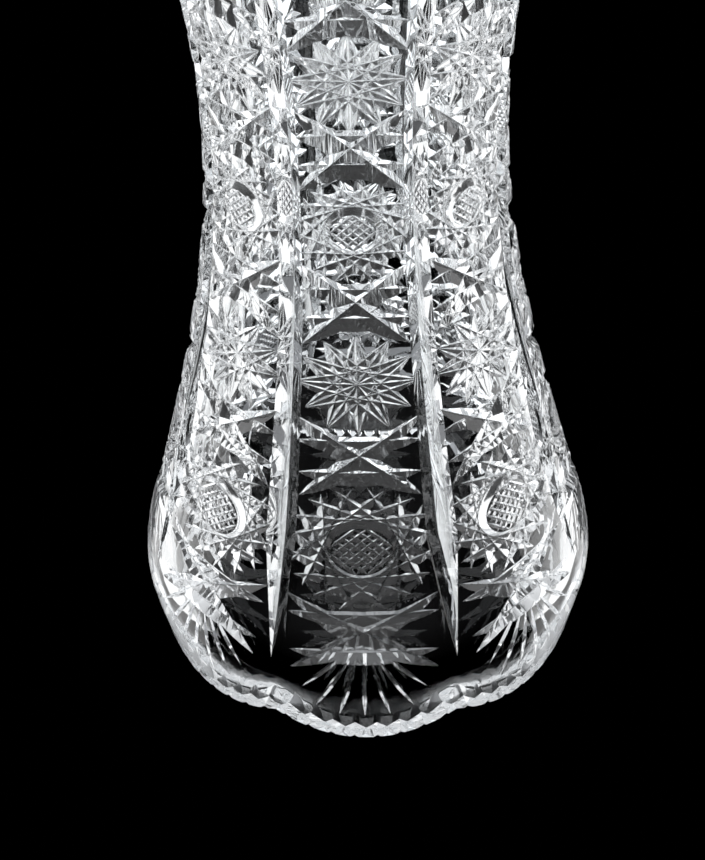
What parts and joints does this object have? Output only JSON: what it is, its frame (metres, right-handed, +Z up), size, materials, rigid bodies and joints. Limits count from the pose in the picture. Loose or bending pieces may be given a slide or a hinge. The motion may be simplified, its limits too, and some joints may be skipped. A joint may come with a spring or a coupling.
{
  "type": "cut crystal vase",
  "caption": "Waisted cut crystal vase with a saw-toothed scalloped mouth, cut star panels and long mitre flutes; holds flowers.",
  "frame": {"origin": "centre of the base's underside, on the surface the vase stands on", "axes": "+Z up along the vase's axis, mouth up; the middle of one cut panel faces -Y"},
  "size_m": [0.1222, 0.122, 0.3],
  "materials": {
    "lead_crystal": "wheel cut and polished"
  },
  "bodies": {
    "root": {"vase": "lead_crystal"}
  },
  "joints": []
}
